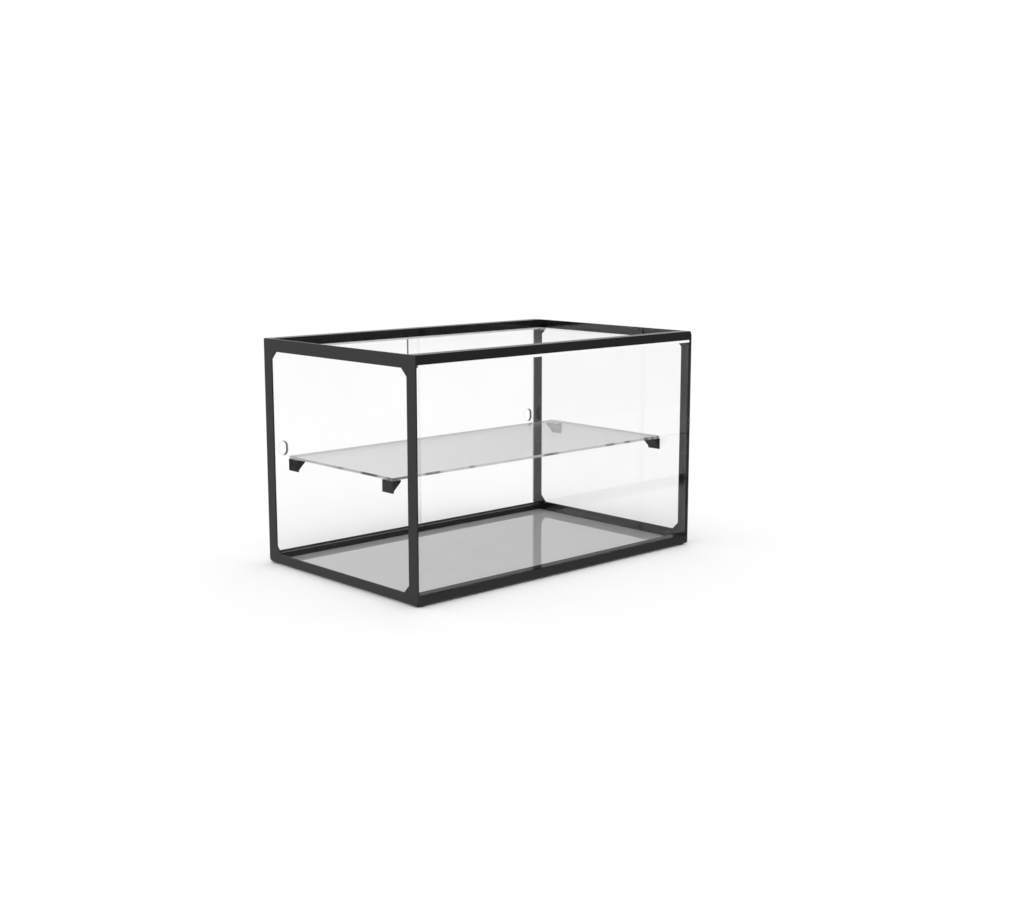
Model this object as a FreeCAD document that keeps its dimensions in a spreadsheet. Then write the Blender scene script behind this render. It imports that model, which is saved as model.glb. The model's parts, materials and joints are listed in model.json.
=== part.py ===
import FreeCAD, Part
import os
from math import pi

import Sketcher
from FreeCAD import Placement, Rotation, Vector

# Countertop bakery display case. Millimetres, +Z up, front towards -Y.
# The origin is the middle of the footprint, at the level of the underside of the feet.

os.makedirs("parts", exist_ok=True)
doc = FreeCAD.newDocument("BakeryDisplayCase")

# ---------------------------------------------------------------- driving dimensions

DIMENSIONS = [
    ("case_width", 600.0),
    ("case_depth", 382.0),
    ("frame_height", 365.0),
    ("foot_height", 2.5),
    ("foot_radius", 8.0),
    ("foot_inset_x", 12.0),
    ("foot_inset_y", 10.0),
    ("plate_thick", 2.5),
    ("post_width", 20.5),
    ("deep_bar", 20.0),
    ("slim_bar", 15.2),
    ("ring_chamfer", 12.0),
    ("deep_corner", 2.5),
    ("slim_corner", 7.0),
    ("plate_edge", 0.3),
    ("rail_depth", 20.0),
    ("rail_height", 14.5),
    ("rail_wall", 1.5),
    ("rail_corner", 0.8),
    ("side_glass_thick", 3.0),
    ("glass_thick", 4.0),
    ("glass_edge", 0.3),
    ("front_setback", 0.5),
    ("channel_width", 5.0),
    ("track_wall", 1.0),
    ("track_divider", 1.5),
    ("bottom_channel", 6.0),
    ("top_channel", 11.5),
    ("door_overlap", 20.0),
    ("door_gap", 0.5),
    ("door_hold", 5.0),
    ("hole_radius", 7.4),
    ("hole_straight", 6.8),
    ("hole_inset", 17.0),
    ("hole_height", 188.0),
    ("glide_length", 24.0),
    ("glide_width", 4.4),
    ("glide_height", 1.6),
    ("glide_gap", 0.2),
    ("glide_inset", 45.0),
    ("stop_height", 4.5),
    ("stop_gap", 0.4),
    ("shelf_top", 182.8),
    ("shelf_front", -129.0),
    ("shelf_depth", 266.0),
    ("shelf_gap", 0.5),
    ("shelf_corner", 2.0),
    ("bracket_length", 25.0),
    ("bracket_reach", 15.5),
    ("bracket_height", 18.5),
    ("bracket_nose", 2.4),
    ("bracket_heel", 3.2),
    ("bracket_toe", 2.0),
    ("pad_height", 0.8),
    ("pad_margin", 1.5),
    ("floor_top", 7.5),
    ("floor_thick", 3.0),
    ("bearer_width", 25.0),
    ("bearer_spread", 190.0),
]

sheet = doc.addObject("Spreadsheet::Sheet", "Dimensions")
for row, (alias, number) in enumerate(DIMENSIONS, start=1):
    sheet.set(f"A{row}", alias)
    sheet.set(f"B{row}", str(number))
    sheet.setAlias(f"B{row}", alias)

# sizes that follow from the driving ones
DERIVED = [
    ("half_width", "=case_width / 2"),
    ("half_depth", "=case_depth / 2"),
    ("frame_top", "=foot_height + frame_height"),
    ("inner_half", "=half_width - plate_thick"),
    ("glass_half", "=inner_half - side_glass_thick"),
    ("rail_inner", "=half_depth - rail_depth"),
    ("low_rail_top", "=foot_height + rail_height"),
    ("high_rail_under", "=frame_top - rail_height"),
    ("front_glass_back", "=-half_depth + front_setback + glass_thick"),
    ("track_width", "=2 * track_wall + 2 * channel_width + track_divider"),
    ("track_back", "=half_depth - rail_wall"),
    ("outer_channel", "=track_back - track_wall - channel_width / 2"),
    ("inner_channel", "=outer_channel - channel_width - track_divider"),
    ("channel_floor", "=low_rail_top - bottom_channel"),
    ("door_bottom", "=channel_floor + glide_gap + glide_height"),
    ("door_top", "=high_rail_under + door_hold"),
    ("door_half", "=glass_half - door_gap"),
    ("shelf_half", "=glass_half - shelf_gap"),
    ("shelf_under", "=shelf_top - glass_thick"),
    ("bracket_top", "=shelf_under - pad_height"),
    ("pad_width", "=bracket_reach - 2 * pad_margin"),
    ("pad_length", "=bracket_length - 2 * pad_margin"),
]
first = len(DIMENSIONS) + 2
for row, (alias, formula) in enumerate(DERIVED, start=first):
    sheet.set(f"A{row}", alias)
    sheet.set(f"B{row}", formula)
    sheet.setAlias(f"B{row}", alias)
doc.recompute()

SUBPARTS = []
NAMES = [alias for alias, _ in DIMENSIONS + DERIVED]


def words(expression):
    """The expression cut into names and the characters between them."""
    pieces = [""]
    for letter in expression:
        is_word = letter.isalnum() or letter in "_."
        was_word = bool(pieces[-1]) and (pieces[-1][-1].isalnum() or pieces[-1][-1] in "_.")
        if is_word == was_word:
            pieces[-1] += letter
        else:
            pieces.append(letter)
    return pieces


def bound(expression):
    """The expression with every dimension name pointing at the sheet."""
    return "".join(f"Dimensions.{word}" if word in NAMES else word for word in words(expression))


def value(expression):
    """The number that an expression of dimension names stands for."""
    text = "".join(f"({sheet.get(word)})" if word in NAMES else word for word in words(expression))
    return float(FreeCAD.Units.parseQuantity(text).Value)


# ---------------------------------------------------------------- helpers


def register(item, label):
    """Give an object its node name and put it on the list of sub-parts."""
    item.Label = label
    SUBPARTS.append(item)
    return item


def block(name, low, size):
    """A rectangular block from its low corner and its size, all of them expressions."""
    box = doc.addObject("Part::Box", name)
    for side, expression in zip(("Length", "Width", "Height"), size):
        box.setExpression(side, bound(expression))
    for axis, expression in zip("xyz", low):
        box.setExpression(f"Placement.Base.{axis}", bound(expression))
    return box


def group(label, blocks):
    """One sub-part made of several identical loose pieces."""
    compound = doc.addObject("Part::Compound", label)
    compound.Links = blocks
    return register(compound, label)


def base_plane(body, role):
    """One of a body's own base planes."""
    return next(item for item in body.Origin.OriginFeatures if item.Role == role)


def add_loop(sketch, corners):
    """Add one closed polygon whose corners, pairs of expressions, are bound to the sheet."""
    start = sketch.GeometryCount
    places = [Vector(value(across), value(up), 0) for across, up in corners]
    count = len(places)
    for index in range(count):
        sketch.addGeometry(Part.LineSegment(places[index], places[(index + 1) % count]), False)
    for index in range(count):
        after = start + (index + 1) % count
        sketch.addConstraint(Sketcher.Constraint("Coincident", start + index, 2, after, 1))
    for index, (across, up) in enumerate(corners):
        bind_point(sketch, start + index, 1, across, up)


def bind_point(sketch, geometry, vertex, across, up):
    """Tie one point of a sketch to two expressions, measured from the sketch's origin."""
    for kind, expression in (("DistanceX", across), ("DistanceY", up)):
        constraint = Sketcher.Constraint(kind, -1, 1, geometry, vertex, value(expression))
        bind_constraint(sketch, constraint, expression)


def bind_constraint(sketch, constraint, expression):
    """Add a constraint whose number follows an expression."""
    where = sketch.addConstraint(constraint)
    sketch.setExpression(f"Constraints[{where}]", bound(expression))


def add_slot(sketch, across, up, radius, straight):
    """Add one upright slot with its centre, end radius and straight length bound to the sheet."""
    ends = []
    for sign, turn in ((1, 0.0), (-1, pi)):
        level = f"{up} + {sign} * {straight} / 2"
        circle = Part.Circle(Vector(value(across), value(level), 0), Vector(0, 0, 1), value(radius))
        which = sketch.addGeometry(Part.ArcOfCircle(circle, turn, turn + pi), False)
        bind_point(sketch, which, 3, across, level)
        bind_constraint(sketch, Sketcher.Constraint("Radius", which, value(radius)), radius)
        for vertex in (1, 2):
            end_level = Sketcher.Constraint("DistanceY", -1, 1, which, vertex, value(level))
            bind_constraint(sketch, end_level, level)
        ends.append(which)
    for first, second in (ends, reversed(ends)):
        leaves = sketch.getPoint(first, 2)
        arrives = sketch.getPoint(second, 1)
        side = sketch.addGeometry(Part.LineSegment(leaves, arrives), False)
        sketch.addConstraint(Sketcher.Constraint("Coincident", first, 2, side, 1))
        sketch.addConstraint(Sketcher.Constraint("Coincident", side, 2, second, 1))


def prism(label, role, start, length, loops, slot=None):
    """A body padded from a sketch on one of its base planes.

    On YZ_Plane the sketch holds (y, z) and the pad runs to +X; on XZ_Plane it holds (x, z)
    and the pad runs to -Y; on XY_Plane it holds (x, y) and the pad runs to +Z.
    """
    body = doc.addObject("PartDesign::Body", label)
    sketch = body.newObject("Sketcher::SketchObject", f"{label}_outline")
    sketch.AttachmentSupport = [(base_plane(body, role), "")]
    sketch.MapMode = "FlatFace"
    sketch.setExpression("AttachmentOffset.Base.z", bound(start))
    for corners in loops:
        add_loop(sketch, corners)
    if slot:
        add_slot(sketch, *slot)
    pad = body.newObject("PartDesign::Pad", f"{label}_pad")
    pad.Profile = sketch
    pad.setExpression("Length", bound(length))
    sketch.Visibility = False
    doc.recompute()
    return register(body, label)


def rectangle(left, low, right, high):
    """The four corners of a rectangle."""
    return [(left, low), (right, low), (right, high), (left, high)]


def edges_where(shape, test):
    """Names of the edges that pass a test of their two end points."""
    names = []
    for number, edge in enumerate(shape.Edges, start=1):
        ends = [vertex.Point for vertex in edge.Vertexes]
        if len(ends) == 2 and test(ends[0], ends[1]):
            names.append(f"Edge{number}")
    return names


def dress(body, kind, size, test):
    """Fillet or chamfer the edges of a body's tip that pass a test."""
    tip = body.Tip
    feature = body.newObject(f"PartDesign::{kind}", f"{body.Name}_{kind}")
    feature.Base = (tip, edges_where(tip.Shape, test))
    feature.setExpression("Radius" if kind == "Fillet" else "Size", bound(size))
    tip.Visibility = False
    doc.recompute()


def near(first, second):
    """Whether two lengths are the same."""
    return abs(first - second) < 1e-6


# ---------------------------------------------------------------- side frames


def side_frame(label):
    """A flat plate ring with a deep bar at its top, a slim bar at its foot and two posts."""
    front, back = "-half_depth", "half_depth"
    low, high = "foot_height", "frame_top"
    post_front, post_back = "-half_depth + post_width", "half_depth - post_width"
    sill, head = "foot_height + slim_bar", "frame_top - deep_bar"
    opening = [
        (post_front, f"{sill} + ring_chamfer"),
        (f"{post_front} + ring_chamfer", sill),
        (f"{post_back} - ring_chamfer", sill),
        (post_back, f"{sill} + ring_chamfer"),
        (post_back, f"{head} - ring_chamfer"),
        (f"{post_back} - ring_chamfer", head),
        (f"{post_front} + ring_chamfer", head),
        (post_front, f"{head} - ring_chamfer"),
    ]
    body = prism(
        label, "YZ_Plane", "-half_width", "plate_thick",
        [rectangle(front, low, back, high), opening],
    )
    limit = value("half_depth")

    def corner_at(height):
        return lambda a, b: near(a.z, height) and near(b.z, height) and not near(a.x, b.x) \
            and near(abs(a.y), limit)

    dress(body, "Fillet", "deep_corner", corner_at(value("frame_top")))
    dress(body, "Fillet", "slim_corner", corner_at(value("foot_height")))
    outer = -value("half_width")
    dress(body, "Chamfer", "plate_edge", lambda a, b: near(a.x, outer) and near(b.x, outer))
    return body


side_frame("left_side_frame")
right_frame = side_frame("right_side_frame")
# the right-hand plate is the same plate turned over, so its deep bar is at the bottom
half_turn = Rotation(Vector(0, 1, 0), 180)
right_frame.Placement = Placement(Vector(0, 0, 0), half_turn)
right_frame.setExpression("Placement.Base.z", bound("frame_height + 2 * foot_height"))

# ---------------------------------------------------------------- rails


def tube_rail(label, near_side, low):
    """A plain rectangular tube across the width."""
    far_side = f"{near_side} + rail_depth"
    high = f"{low} + rail_height"
    hollow = rectangle(
        f"{near_side} + rail_wall", f"{low} + rail_wall",
        f"{far_side} - rail_wall", f"{high} - rail_wall",
    )
    body = prism(
        label, "YZ_Plane", "-inner_half", "2 * inner_half",
        [rectangle(near_side, low, far_side, high), hollow],
    )
    round_long_edges(body, near_side, far_side)
    return body


def round_long_edges(body, near_side, far_side):
    """Round the four outer corners of a rail along its length."""
    sides = (value(near_side), value(far_side))
    heights = (body.Shape.BoundBox.ZMin, body.Shape.BoundBox.ZMax)

    def is_outer(a, b):
        along = not near(a.x, b.x)
        return along and any(near(a.y, y) for y in sides) and any(near(a.z, z) for z in heights)

    dress(body, "Fillet", "rail_corner", is_outer)


def track_rail(label, closed, mouth):
    """A rail open along one face to take a door track; closed and mouth are its two levels."""
    sign = "+" if value(mouth) > value(closed) else "-"
    floor_level = f"{closed} {sign} rail_wall"
    lip_level = f"{mouth} - rail_wall" if sign == "+" else f"{mouth} + rail_wall"
    lip_end = "track_back - track_width"
    pocket_end = "rail_inner + rail_wall"
    section = [
        ("rail_inner", closed),
        ("half_depth", closed),
        ("half_depth", mouth),
        ("track_back", mouth),
        ("track_back", floor_level),
        (pocket_end, floor_level),
        (pocket_end, lip_level),
        (lip_end, lip_level),
        (lip_end, mouth),
        ("rail_inner", mouth),
    ]
    body = prism(label, "YZ_Plane", "-inner_half", "2 * inner_half", [section])
    round_long_edges(body, "rail_inner", "half_depth")
    return body


tube_rail("front_bottom_rail", "-half_depth", "foot_height")
tube_rail("front_top_rail", "-half_depth", "high_rail_under")
track_rail("back_bottom_rail", "foot_height", "low_rail_top")
track_rail("back_top_rail", "frame_top", "high_rail_under")

# ---------------------------------------------------------------- door tracks


def door_track(label, closed, mouth, depth):
    """A plastic insert with two channels that open at mouth and are depth deep."""
    sign = "-" if value(mouth) > value(closed) else "+"
    bed = f"{mouth} {sign} {depth}"
    half = "channel_width / 2"
    section = [
        ("track_back", closed),
        ("track_back", mouth),
        (f"outer_channel + {half}", mouth),
        (f"outer_channel + {half}", bed),
        (f"outer_channel - {half}", bed),
        (f"outer_channel - {half}", mouth),
        (f"inner_channel + {half}", mouth),
        (f"inner_channel + {half}", bed),
        (f"inner_channel - {half}", bed),
        (f"inner_channel - {half}", mouth),
        ("track_back - track_width", mouth),
        ("track_back - track_width", closed),
    ]
    return prism(label, "YZ_Plane", "-inner_half", "2 * inner_half", [section])


door_track("bottom_door_track", "foot_height + rail_wall", "low_rail_top", "bottom_channel")
door_track("top_door_track", "frame_top - rail_wall", "high_rail_under", "top_channel")

stops = []
stop_width = "inner_half - door_half - stop_gap"
for channel in ("outer_channel", "inner_channel"):
    for side, start in (("left", "-inner_half"), ("right", "door_half + stop_gap")):
        low = (start, f"{channel} - channel_width / 2", "channel_floor")
        size = (stop_width, "channel_width", "stop_height")
        stops.append(block(f"stop_{side}_{channel}", low, size))
group("track_end_stops", stops)

# ---------------------------------------------------------------- fixed glass and floor


def side_glass(label, start):
    """A glass sheet against the inner face of a side frame, notched around the four rails."""
    front, back = "front_glass_back", "half_depth - front_setback"
    low, high = "foot_height", "frame_top"
    rail_back = "-rail_inner"
    section = [
        (front, "low_rail_top"),
        (rail_back, "low_rail_top"),
        (rail_back, low),
        ("rail_inner", low),
        ("rail_inner", "low_rail_top"),
        (back, "low_rail_top"),
        (back, "high_rail_under"),
        ("rail_inner", "high_rail_under"),
        ("rail_inner", high),
        (rail_back, high),
        (rail_back, "high_rail_under"),
        (front, "high_rail_under"),
    ]
    return prism(label, "YZ_Plane", start, "side_glass_thick", [section])


side_glass("left_side_glass", "-inner_half")
side_glass("right_side_glass", "glass_half")

top_glass_back = "track_back - track_width - front_setback"
prism(
    "top_glass", "XY_Plane", "high_rail_under - glass_thick", "glass_thick",
    [rectangle("-glass_half", "-half_depth + front_setback", "glass_half", top_glass_back)],
)
prism(
    "front_glass", "XZ_Plane", "half_depth - front_setback - glass_thick", "glass_thick",
    [rectangle("-inner_half", "low_rail_top", "inner_half", "high_rail_under - glass_thick")],
)
prism(
    "floor_panel", "XY_Plane", "floor_top - floor_thick", "floor_thick",
    [rectangle("-glass_half", "-rail_inner", "glass_half", "rail_inner")],
)
for side, centre in (("left", "-bearer_spread"), ("right", "bearer_spread")):
    low = (f"{centre} - bearer_width / 2", "-rail_inner", "foot_height")
    size = ("bearer_width", "2 * rail_inner", "floor_top - floor_thick - foot_height")
    label = f"{side}_floor_bearer"
    register(block(label, low, size), label)

# ---------------------------------------------------------------- shelf, brackets and pads

SHELF_ENDS = {
    "front": "shelf_front",
    "back": "shelf_front + shelf_depth - bracket_length",
}


def shelf_bracket(label, sign, low_y):
    """A wedge bracket on a side glass: a flat top, a short nose and a slope down to its heel."""
    wall = f"{sign} * glass_half"
    tip = f"{sign} * (glass_half - bracket_reach)"
    toe = f"{sign} * (glass_half - bracket_toe)"
    under = "bracket_top - bracket_height"
    section = [
        (wall, "bracket_top"),
        (tip, "bracket_top"),
        (tip, "bracket_top - bracket_nose"),
        (toe, f"{under} + bracket_heel"),
        (toe, under),
        (wall, under),
    ]
    return prism(label, "XZ_Plane", f"-({low_y} + bracket_length)", "bracket_length", [section])


def shelf_pad(label, sign, low_y):
    """A thin pad on a bracket, under the glass shelf."""
    inner = f"{sign} * (glass_half - bracket_reach / 2) - pad_width / 2"
    low = (inner, f"{low_y} + pad_margin", "bracket_top")
    return register(block(label, low, ("pad_width", "pad_length", "pad_height")), label)


for end, low_y in SHELF_ENDS.items():
    for side, sign in (("left", "-1"), ("right", "1")):
        shelf_bracket(f"shelf_bracket_{end}_{side}", sign, low_y)
        shelf_pad(f"shelf_pad_{end}_{side}", sign, low_y)

shelf = prism(
    "glass_shelf", "XY_Plane", "shelf_under", "glass_thick",
    [rectangle("-shelf_half", "shelf_front", "shelf_half", "shelf_front + shelf_depth")],
)
dress(shelf, "Fillet", "shelf_corner", lambda a, b: not near(a.z, b.z))
dress(shelf, "Chamfer", "glass_edge", lambda a, b: near(a.z, b.z))

# ---------------------------------------------------------------- sliding doors


def glass_door(label, channel, sign):
    """A sliding glass door with a finger hole by its outer edge; sign is the side it closes."""
    left, right = ("-door_half", "door_overlap / 2")
    if sign == "1":
        left, right = ("-door_overlap / 2", "door_half")
    hole = (
        f"{sign} * (door_half - hole_inset)", "hole_height", "hole_radius", "hole_straight",
    )
    body = prism(
        label, "XZ_Plane", f"-({channel} + glass_thick / 2)", "glass_thick",
        [rectangle(left, "door_bottom", right, "door_top")], hole,
    )
    dress(body, "Chamfer", "glass_edge", lambda a, b: near(a.y, b.y))
    return body


def door_glides(label, channel, ends):
    """Two slippery shoes under the bottom edge of a door."""
    shoes = []
    for number, start in enumerate(ends, start=1):
        low = (start, f"{channel} - glide_width / 2", "channel_floor + glide_gap")
        size = ("glide_length", "glide_width", "glide_height")
        shoes.append(block(f"{label}_{number}", low, size))
    return group(label, shoes)


glass_door("left_door", "inner_channel", "-1")
glass_door("right_door", "outer_channel", "1")
door_glides(
    "left_door_glides", "inner_channel",
    ["-door_half + glide_inset", "door_overlap / 2 - glide_inset - glide_length"],
)
door_glides(
    "right_door_glides", "outer_channel",
    ["-door_overlap / 2 + glide_inset", "door_half - glide_inset - glide_length"],
)

# ---------------------------------------------------------------- feet


def rubber_foot(label, across, along):
    """A low round foot with a bevelled lower edge, turned about its own axis."""
    body = doc.addObject("PartDesign::Body", label)
    sketch = body.newObject("Sketcher::SketchObject", f"{label}_half")
    sketch.AttachmentSupport = [(base_plane(body, "XZ_Plane"), "")]
    sketch.MapMode = "FlatFace"
    bevel = "foot_height / 3"
    add_loop(sketch, [
        ("0", "0"),
        (f"foot_radius - {bevel}", "0"),
        ("foot_radius", bevel),
        ("foot_radius", "foot_height"),
        ("0", "foot_height"),
    ])
    turned = body.newObject("PartDesign::Revolution", f"{label}_turned")
    turned.Profile = sketch
    turned.ReferenceAxis = (sketch, ["V_Axis"])
    turned.Angle = 360
    sketch.Visibility = False
    body.setExpression("Placement.Base.x", bound(across))
    body.setExpression("Placement.Base.y", bound(along))
    return register(body, label)


for end, along in (("front", "-half_depth + foot_inset_y"), ("back", "half_depth - foot_inset_y")):
    for side, sign in (("left", "-1"), ("right", "1")):
        rubber_foot(f"foot_{end}_{side}", f"{sign} * (half_width - foot_inset_x)", along)

# ---------------------------------------------------------------- check and export

doc.recompute()
for item in doc.Objects:
    if "Invalid" in item.State or "Error" in item.State:
        raise RuntimeError(f"{item.Label} failed: {item.State}")
for item in SUBPARTS:
    if item.Shape.isNull() or not item.Shape.isValid():
        raise RuntimeError(f"{item.Label} has no valid shape")
for item in SUBPARTS:
    item.Shape.exportStep(f"parts/{item.Label}.step")
print(len(SUBPARTS), "sub-parts written")
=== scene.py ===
import json
import math

import bpy
from mathutils import Matrix, Vector


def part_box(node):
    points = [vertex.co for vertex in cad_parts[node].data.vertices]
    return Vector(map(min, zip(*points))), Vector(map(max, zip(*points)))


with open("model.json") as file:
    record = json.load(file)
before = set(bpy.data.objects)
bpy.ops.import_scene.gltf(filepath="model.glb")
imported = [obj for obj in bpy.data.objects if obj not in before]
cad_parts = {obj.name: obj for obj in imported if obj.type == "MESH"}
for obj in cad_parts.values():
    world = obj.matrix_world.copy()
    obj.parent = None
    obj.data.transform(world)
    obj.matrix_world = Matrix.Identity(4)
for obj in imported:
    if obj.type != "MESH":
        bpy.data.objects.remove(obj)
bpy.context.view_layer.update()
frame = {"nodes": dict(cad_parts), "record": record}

# Bakery display case in metres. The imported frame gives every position.

HOLE_RADIUS = 0.0074            # the rounded ends of a door's finger hole
HOLE_STRAIGHT = 0.0068          # the straight part between them
PANE_REFLECTANCE = 0.04         # clear glass seen square on

LENS_MM = 50.585
CAMERA_AZIMUTH = -42.975
CAMERA_ELEVATION = 9.711
CAMERA_PLACE = (-1.574414, -1.758470, 0.569904)
ROOM_BRIGHTNESS = 1.115
FLOOR_REACH = 30.0


scene = bpy.context.scene
scene.view_settings.view_transform = "Standard"
scene.view_settings.look = "None"

# ---------------------------------------------------------------- node helpers


class Nodes:
    """A material or world node tree with short calls for adding and wiring nodes."""

    def __init__(self, tree):
        self.tree = tree
        self.tree.nodes.clear()

    def add(self, kind, settings=None, **inputs):
        """Add a node, set its properties and give its inputs a value or a socket."""
        node = self.tree.nodes.new(f"ShaderNode{kind}")
        for name, setting in (settings or {}).items():
            setattr(node, name, setting)
        for name, given in inputs.items():
            self.give(node.inputs[name.replace("_", " ")], given)
        return node

    def give(self, socket, given):
        """Set a socket's value, or link it when an output is given."""
        if isinstance(given, bpy.types.NodeSocket):
            self.tree.links.new(given, socket)
        else:
            socket.default_value = given

    def math(self, operation, *values, clamp=False):
        """The result of a Math node."""
        node = self.add("Math", {"operation": operation, "use_clamp": clamp})
        for socket, given in zip(node.inputs, values):
            self.give(socket, given)
        return node.outputs["Value"]

    def spread(self, source, low, high, to_low, to_high):
        """A value mapped from one range to another."""
        node = self.add("MapRange", Value=source, From_Min=low, From_Max=high,
                        To_Min=to_low, To_Max=to_high)
        return node.outputs["Result"]

    def within(self, source, low, high):
        """1 where a value lies between two others, 0 elsewhere."""
        above = self.math("GREATER_THAN", source, low)
        return self.math("MULTIPLY", above, self.math("LESS_THAN", source, high))

    def noise(self, where, scale, detail=3.0, rough=0.5):
        """A noise pattern of so many features per metre."""
        node = self.add("TexNoise", Vector=where, Scale=scale, Detail=detail, Roughness=rough)
        return node.outputs["Fac"]

    def blend(self, factor, first, second):
        """A colour between two others."""
        node = self.add("Mix", {"data_type": "RGBA"})
        self.give(node.inputs[0], factor)
        self.give(node.inputs[6], first)
        self.give(node.inputs[7], second)
        return node.outputs[2]

    def bump(self, height, distance, strength=1.0, normal=None):
        """A bumped normal."""
        node = self.add("Bump", Height=height, Distance=distance, Strength=strength)
        if normal is not None:
            self.give(node.inputs["Normal"], normal)
        return node.outputs["Normal"]

    def edges(self, radius):
        """A mask that is 1 near sharp edges and 0 on flat faces."""
        soft = self.add("Bevel", {"samples": 6}, Radius=radius)
        flat = self.add("NewGeometry")
        dot = self.add("VectorMath", {"operation": "DOT_PRODUCT"})
        self.give(dot.inputs[0], soft.outputs["Normal"])
        self.give(dot.inputs[1], flat.outputs["Normal"])
        return self.spread(dot.outputs["Value"], 0.995, 0.80, 0.0, 1.0)

    def mix_shader(self, factor, first, second):
        """Two shaders mixed by a factor."""
        node = self.add("MixShader")
        self.give(node.inputs[0], factor)
        self.give(node.inputs[1], first)
        self.give(node.inputs[2], second)
        return node.outputs["Shader"]

    def object_place(self):
        """The place on the object, in metres."""
        return self.add("TexCoord").outputs["Object"]

    def mirrored(self):
        """1 for a ray that a glossy surface has just reflected, 0 for any other."""
        path = self.add("LightPath")
        sharp = self.math("MAXIMUM", path.outputs["Is Glossy Ray"], path.outputs["Is Singular Ray"])
        return self.math("MULTIPLY", sharp, path.outputs["Is Reflection Ray"])

    def finish(self, shader):
        """Send a shader to the output."""
        out = self.add("OutputMaterial")
        self.tree.links.new(shader, out.inputs["Surface"])


def material(name):
    """A new material and its empty node tree."""
    made = bpy.data.materials.new(name)
    made.use_nodes = True
    return made, Nodes(made.node_tree)


def grey(level, warm=1.0):
    """A nearly neutral colour; warm above 1 leans to red."""
    return (level * warm, level, level / warm, 1.0)


# ---------------------------------------------------------------- materials


def powder_coat(name, dark, light, rough):
    """Glossy black powder coat: fine orange peel, faint cloudiness, rubbed edges."""
    made, n = material(name)
    where = n.object_place()
    cloud = n.noise(where, 9.0, 4.0, 0.6)
    rubs = n.noise(where, 45.0, 5.0, 0.7)
    edge = n.edges(0.0008)
    worn = n.math("MULTIPLY", edge, n.spread(rubs, 0.42, 0.62, 0.1, 0.6))
    colour = n.blend(cloud, grey(dark), grey(light, 1.02))
    colour = n.blend(worn, colour, grey(0.05))
    roughness = n.spread(n.noise(where, 26.0, 4.0), 0.3, 0.7, rough - 0.03, rough + 0.04)
    normal = n.bump(n.noise(where, 620.0, 2.0), 0.000004, 0.5)
    # the coat mirrors less at a glancing angle than clear lacquer does
    facing = n.add("LayerWeight", Blend=0.5).outputs["Facing"]
    shine = n.spread(facing, 0.35, 0.8, 0.5, 0.065)
    shader = n.add(
        "BsdfPrincipled", Base_Color=colour, Roughness=roughness, Normal=normal,
        Specular_IOR_Level=shine,
    )
    n.finish(shader.outputs["BSDF"])
    return made


def pane_face(n, where, clear, gain, power, painted_half_moon_shade):
    """The broad face of a pane: clear, faintly smeared, mirroring more at a glancing angle, and
    optionally shaded by a painted half-moon.
    """
    smears = n.noise(where, 14.0, 4.0, 0.6)
    facing = n.add("LayerWeight", Blend=0.5).outputs["Facing"]
    mirror = n.math(
        "MULTIPLY_ADD", n.math("POWER", facing, 5.0), 1.0 - PANE_REFLECTANCE, PANE_REFLECTANCE,
    )
    mirror = n.math("MULTIPLY", n.math("POWER", mirror, power), gain, clamp=True)
    smeared = [c - 0.006 for c in clear[:3]] + [1.0]
    tint = n.blend(n.spread(smears, 0.35, 0.7, 0.0, 1.0), clear, smeared)
    # painted shade: a dark half-moon tinted into the glass beside a finger hole stands in for the
    # shade of the hole's far wall
    if painted_half_moon_shade:
        tint = n.blend(painted_half_moon_shade(n, where), tint, grey(0.12))
    through = n.add("BsdfTransparent", Color=tint)
    gloss = n.add(
        "BsdfGlossy", Color=(1.0, 1.0, 1.0, 1.0),
        Normal=n.bump(n.noise(where, 3.0, 1.0), 0.00002, 0.15),
        Roughness=n.spread(smears, 0.45, 0.8, 0.0, 0.05),
    )
    return n.mix_shader(mirror, through.outputs["BSDF"], gloss.outputs["BSDF"])


def pane_edge(n, where, light, open_share, painted_edge_shade):
    """The ground edge of a pane: partly clear, pale, and painted dark as shade where the given mask
    says so.
    """
    ground = n.noise(where, 1500.0, 2.0)
    colour = n.blend(n.spread(ground, 0.4, 0.7, 0.0, 0.2), light, grey(0.95))
    # painted shade: the edge is coloured dark and lets less light through where the mask says, in
    # place of the dark that light bent in the glass edge would show
    if painted_edge_shade:
        dark = painted_edge_shade(n, where)
        colour = n.blend(dark, colour, grey(0.05))
        open_share = n.spread(dark, 0.0, 1.0, open_share, 0.08)
    solid = n.add(
        "BsdfPrincipled", Base_Color=colour, Roughness=n.spread(ground, 0.3, 0.7, 0.2, 0.4),
        Normal=n.bump(ground, 0.00001, 0.4),
    )
    through = n.add("BsdfTransparent", Color=grey(0.97))
    return n.mix_shader(open_share, solid.outputs["BSDF"], through.outputs["BSDF"])


def sheet_glass(
    name, axis, clear, gain, power, edge_light, edge_clear, painted_edge_shade=None, painted_half_moon_shade=None,
):
    """Float glass with clear faces and ground edges.

    axis is the sheet's own direction, clear the share of light that each face lets through,
    gain and power shape how strongly it mirrors, and edge_clear is the share of light that
    the edges let through. The argument after edge_clear gives the places where the edges are
    painted dark as shade instead, and the last argument the place where a half-moon of painted
    shade, standing in for a hole's far wall, is tinted into the glass beside it.
    """
    made, n = material(name)
    where = n.object_place()
    parts = n.add("SeparateXYZ", Vector=n.add("TexCoord").outputs["Normal"])
    is_face = n.math("GREATER_THAN", n.math("ABSOLUTE", parts.outputs[axis]), 0.9)
    edge = pane_edge(n, where, edge_light, edge_clear, painted_edge_shade)
    face = pane_face(n, where, clear, gain, power, painted_half_moon_shade)
    n.finish(n.mix_shader(is_face, edge, face))
    return made


def opening_centre(name):
    """The middle of one of the record's openings."""
    openings = frame["record"]["physics"]["openings"]
    low, high = next(item["box_m"] for item in openings if item["name"] == name)
    return [(a + b) / 2 for a, b in zip(low, high)]


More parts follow.
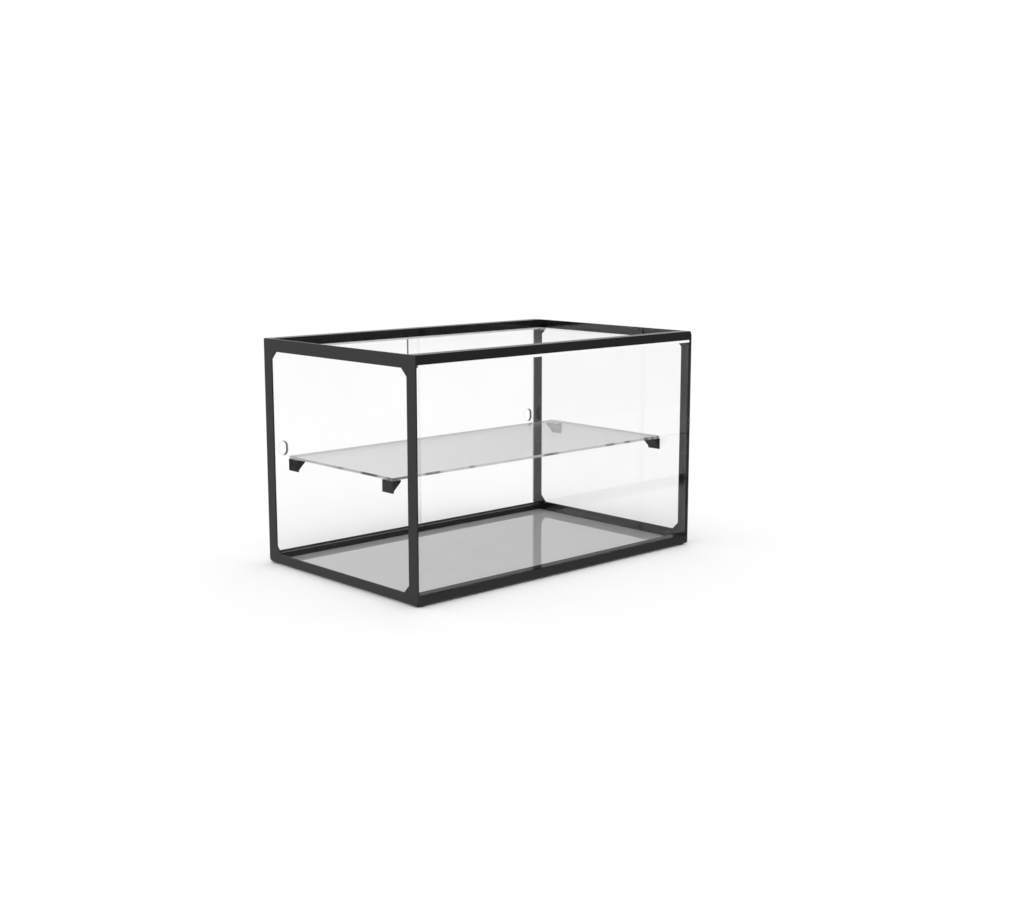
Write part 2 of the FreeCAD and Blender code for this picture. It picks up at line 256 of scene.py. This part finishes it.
def right_wall_painted_shade(n, across, hole):
    """1 at the right-hand wall of a finger hole, where the glass is painted dark as shade."""
    return n.within(across, hole[0] + 0.002, hole[0] + HOLE_RADIUS + 0.001)


def left_door_painted_shade(n, where):
    """Painted shade on the left door: the right wall of its finger hole is painted dark."""
    across = n.add("SeparateXYZ", Vector=where).outputs["X"]
    return right_wall_painted_shade(n, across, LEFT_HOLE)


def right_door_painted_shade(n, where):
    """Painted shade on the right door: its left edge and the right wall of its finger hole are
    painted dark.
    """
    across = n.add("SeparateXYZ", Vector=where).outputs["X"]
    edge = n.math("LESS_THAN", across, float(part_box("right_door")[0][0]) + 0.002)
    return n.math("MAXIMUM", edge, right_wall_painted_shade(n, across, RIGHT_HOLE))


def beside(hole):
    """A function for the painted half-moon of shade tinted into the glass at the right of a finger
    hole.
    """
    def painted_half_moon_shade(n, where):
        place = n.add("SeparateXYZ", Vector=where)
        across = n.math("SUBTRACT", place.outputs["X"], hole[0])
        level = n.math("ABSOLUTE", n.math("SUBTRACT", place.outputs["Z"], hole[2]))
        above = n.math("MAXIMUM", n.math("SUBTRACT", level, HOLE_STRAIGHT / 2), 0.0)
        square = n.math("ADD", n.math("MULTIPLY", across, across),
                        n.math("MULTIPLY", above, above))
        away = n.math("SUBTRACT", n.math("SQRT", square), HOLE_RADIUS)
        near = n.spread(away, 0.0008, 0.0020, 1.0, 0.0)
        return n.math("MULTIPLY", near, n.spread(across, 0.0, 0.004, 0.0, 1.0))
    return painted_half_moon_shade


def shelf_painted_shade(n, where):
    """Painted shade on the shelf's edges: broken dark lines on the front half of the left edge, and
    short dashes along the front that darken towards the left corner.
    """
    place = n.add("SeparateXYZ", Vector=where)
    along = n.add("Mapping", Vector=where, Scale=(1.0, 1.0, 0.2))
    streaks = n.noise(along.outputs["Vector"], 42.0, 2.0)
    left = n.within(place.outputs["X"], -0.297, -0.2935)
    forward = n.spread(place.outputs["Y"], 0.10, -0.05, 0.25, 1.0)
    broken = n.math("MULTIPLY", forward, n.spread(streaks, 0.4, 0.5, 0.35, 1.0))
    front = n.within(place.outputs["Y"], -0.131, -0.1275)
    dashes = n.spread(streaks, 0.56, 0.6, 0.0, 0.8)
    corner = n.spread(place.outputs["X"], -0.23, -0.27, 0.0, 0.85)
    front = n.math("MULTIPLY", front, n.math("MAXIMUM", dashes, corner))
    return n.math("MAXIMUM", n.math("MULTIPLY", left, broken), front)


def floor_laminate(name):
    """Glossy grey panel with a faint mottle and fine wiping marks."""
    made, n = material(name)
    where = n.object_place()
    mottle = n.noise(where, 35.0, 5.0, 0.6)
    stretch = n.add("Mapping", Vector=where, Scale=(4.0, 60.0, 1.0))
    wiped = n.noise(stretch.outputs["Vector"], 3.0, 6.0, 0.7)
    colour = n.blend(mottle, grey(0.48), grey(0.53, 1.005))
    edge = n.edges(0.0006)
    colour = n.blend(n.math("MULTIPLY", edge, 0.4), colour, grey(0.62))
    roughness = n.spread(wiped, 0.3, 0.75, 0.02, 0.06)
    normal = n.bump(n.noise(where, 420.0, 2.0), 0.000002, 0.3)
    shader = n.add(
        "BsdfPrincipled", Base_Color=colour, Roughness=roughness, Normal=normal,
        Specular_IOR_Level=0.5, Coat_Weight=1.0, Coat_Roughness=0.02,
    )
    n.finish(shader.outputs["BSDF"])
    return made


def moulded(name, dark, light, rough, peel_scale, shine=0.4):
    """Moulded plastic or rubber: fine texture, uneven gloss and softly scuffed edges."""
    made, n = material(name)
    where = n.object_place()
    peel = n.noise(where, peel_scale, 3.0)
    cloud = n.noise(where, 30.0, 4.0, 0.6)
    edge = n.edges(0.0005)
    colour = n.blend(cloud, dark, light)
    scuffed = [min(1.0, c * 1.6 + 0.03) for c in light[:3]] + [1.0]
    colour = n.blend(n.math("MULTIPLY", edge, 0.35), colour, scuffed)
    roughness = n.spread(n.noise(where, 80.0, 4.0), 0.3, 0.7, rough - 0.06, rough + 0.08)
    normal = n.bump(peel, 0.00003, 0.5)
    shader = n.add(
        "BsdfPrincipled", Base_Color=colour, Roughness=roughness, Normal=normal,
        Specular_IOR_Level=shine,
    )
    n.finish(shader.outputs["BSDF"])
    return made


def paint(mat, *nodes):
    """Give CAD nodes a material."""
    for name in nodes:
        mesh = frame["nodes"][name].data
        mesh.materials.clear()
        mesh.materials.append(mat)


steel = powder_coat("black_powder_coat", 0.008, 0.011, 0.07)
bracket_steel = powder_coat("black_bracket_coat", 0.008, 0.012, 0.12)
CLEAR = (0.991, 0.993, 0.991, 1.0)
LEFT_HOLE = opening_centre("left_finger_hole")
RIGHT_HOLE = opening_centre("right_finger_hole")
left_clear = sheet_glass("clear_left_glass", "X", CLEAR, 0.3, 1.5, grey(0.7), 0.85)
right_clear = sheet_glass("clear_right_glass", "X", CLEAR, 1.0, 0.85, grey(0.7), 0.85)
front_clear = sheet_glass("clear_front_glass", "Y", CLEAR, 0.3, 1.5, grey(0.7), 0.85)
top_clear = sheet_glass(
    "clear_top_glass", "Z", (0.99, 0.992, 0.99, 1.0), 0.05, 1.5, grey(0.95), 0.0,
)
# the doors' glass gets painted shade at its dark edges and a painted half-moon of shade beside each
# finger hole
left_door_clear = sheet_glass(
    "clear_left_door_glass", "Y", CLEAR, 0.4, 1.5, grey(0.8), 0.88, left_door_painted_shade,
    beside(LEFT_HOLE),
)
right_door_clear = sheet_glass(
    "clear_right_door_glass", "Y", CLEAR, 0.4, 1.5, grey(0.8), 0.88, right_door_painted_shade,
    beside(RIGHT_HOLE),
)
# the shelf's glass gets painted shade along its left and front edges
shelf_clear = sheet_glass(
    "clear_shelf_glass", "Z", (0.985, 0.988, 0.985, 1.0), 1.0, 1.0, grey(0.5), 0.3, shelf_painted_shade,
)
panel = floor_laminate("grey_floor_laminate")
track_plastic = moulded("track_plastic", grey(0.012), grey(0.018), 0.5, 900.0)
glide_plastic = moulded("glide_plastic", grey(0.62), grey(0.70, 1.01), 0.42, 700.0)
rubber = moulded("foot_rubber", grey(0.010), grey(0.016, 1.02), 0.75, 1400.0, 0.25)
silicone = moulded("pad_silicone", grey(0.55), grey(0.62), 0.35, 500.0, 0.5)

paint(
    steel, "left_side_frame", "right_side_frame", "front_bottom_rail", "front_top_rail",
    "back_bottom_rail", "back_top_rail", "left_floor_bearer", "right_floor_bearer",
)
ENDS = ("front_left", "front_right", "back_left", "back_right")
paint(bracket_steel, *[f"shelf_bracket_{end}" for end in ENDS])
paint(left_clear, "left_side_glass")
paint(right_clear, "right_side_glass")
paint(front_clear, "front_glass")
paint(top_clear, "top_glass")
paint(left_door_clear, "left_door")
paint(right_door_clear, "right_door")
paint(shelf_clear, "glass_shelf")
paint(panel, "floor_panel")
paint(track_plastic, "bottom_door_track", "top_door_track", "track_end_stops")
paint(glide_plastic, "left_door_glides", "right_door_glides")
paint(rubber, *[f"foot_{end}" for end in ENDS])
paint(silicone, *[f"shelf_pad_{end}" for end in ENDS])

# ---------------------------------------------------------------- floor, light and camera


def stage_floor():
    """A plain pale floor; in reflections it shows a painted glow that is darker towards the front
    right.
    """
    mesh = bpy.data.meshes.new("stage_floor")
    corner = FLOOR_REACH
    mesh.from_pydata(
        [(-corner, -corner, 0), (corner, -corner, 0), (corner, corner, 0), (-corner, corner, 0)],
        [], [(0, 1, 2, 3)],
    )
    floor = bpy.data.objects.new("stage_floor", mesh)
    scene.collection.objects.link(floor)
    made, n = material("pale_floor")
    where = n.object_place()
    mottle = n.noise(where, 3.0, 2.0)
    white = n.add("BsdfDiffuse", Color=n.blend(mottle, grey(0.905), grey(0.92)))
    parts = n.add("SeparateXYZ", Vector=where)
    # painted reflection: rays that a glossy surface has just reflected see a set glow here instead
    # of the lit floor, dim towards the front right and brighter behind
    left_back = n.math("SUBTRACT", n.math("MULTIPLY", parts.outputs["Y"], 0.73),
                       n.math("MULTIPLY", parts.outputs["X"], 0.68))
    front_side = n.spread(left_back, -1.5, 0.0, 0.2, 0.45)
    behind = n.spread(left_back, 0.0, 0.15, 0.0, 0.25)
    painted_reflection_glow = n.add("Emission", Color=(1.0, 1.0, 1.0, 1.0),
                 Strength=n.math("ADD", front_side, behind))
    n.finish(n.mix_shader(n.mirrored(), white.outputs["BSDF"], painted_reflection_glow.outputs["Emission"]))
    mesh.materials.append(made)


def area_light(name, place, aim, size, power):
    """A large soft light aimed at a point."""
    lamp = bpy.data.lights.new(name, "AREA")
    lamp.shape = "RECTANGLE"
    lamp.size, lamp.size_y = size
    lamp.energy = power
    light = bpy.data.objects.new(name, lamp)
    scene.collection.objects.link(light)
    way = Vector(aim) - Vector(place)
    turn = way.to_track_quat("-Z", "Y").to_matrix().to_4x4()
    light.matrix_world = Matrix.Translation(place) @ turn
    light.visible_camera = False


def surroundings():
    """A white room that looks grey in reflections, lighter behind and to the left."""
    world = bpy.data.worlds.new("white_room")
    scene.world = world
    world.use_nodes = True
    n = Nodes(world.node_tree)
    way = n.add("TexCoord").outputs["Generated"]
    parts = n.add("SeparateXYZ", Vector=way)
    side = n.math("ADD", n.math("MULTIPLY", parts.outputs["X"], -0.6),
                  n.math("MULTIPLY", parts.outputs["Y"], 0.8))
    reflected = n.spread(side, -1.0, 1.0, 0.10, 0.95)
    strength = n.add("Mix", {"data_type": "FLOAT"})
    n.give(strength.inputs[0], n.mirrored())
    n.give(strength.inputs[2], ROOM_BRIGHTNESS)
    n.give(strength.inputs[3], reflected)
    back = n.add("Background", Color=(1.0, 1.0, 1.0, 1.0), Strength=strength.outputs[0])
    out = n.add("OutputWorld")
    n.tree.links.new(back.outputs["Background"], out.inputs["Surface"])


def photo_camera():
    """The camera that the case is seen from."""
    lens = bpy.data.cameras.new("camera")
    lens.sensor_width = 36.0
    lens.lens = LENS_MM
    lens.clip_end = 100.0
    camera = bpy.data.objects.new("camera", lens)
    scene.collection.objects.link(camera)
    turn, rise = math.radians(CAMERA_AZIMUTH), math.radians(CAMERA_ELEVATION)
    back = Vector((math.sin(turn) * math.cos(rise), -math.cos(turn) * math.cos(rise),
                   math.sin(rise)))
    camera.matrix_world = (
        Matrix.Translation(CAMERA_PLACE)
        @ back.to_track_quat("Z", "Y").to_matrix().to_4x4()
    )
    scene.camera = camera


stage_floor()
surroundings()
area_light("overhead", (-0.6, 0.5, 2.2), (0, 0, 0.1), (2.8, 2.8), 2.5)
photo_camera()
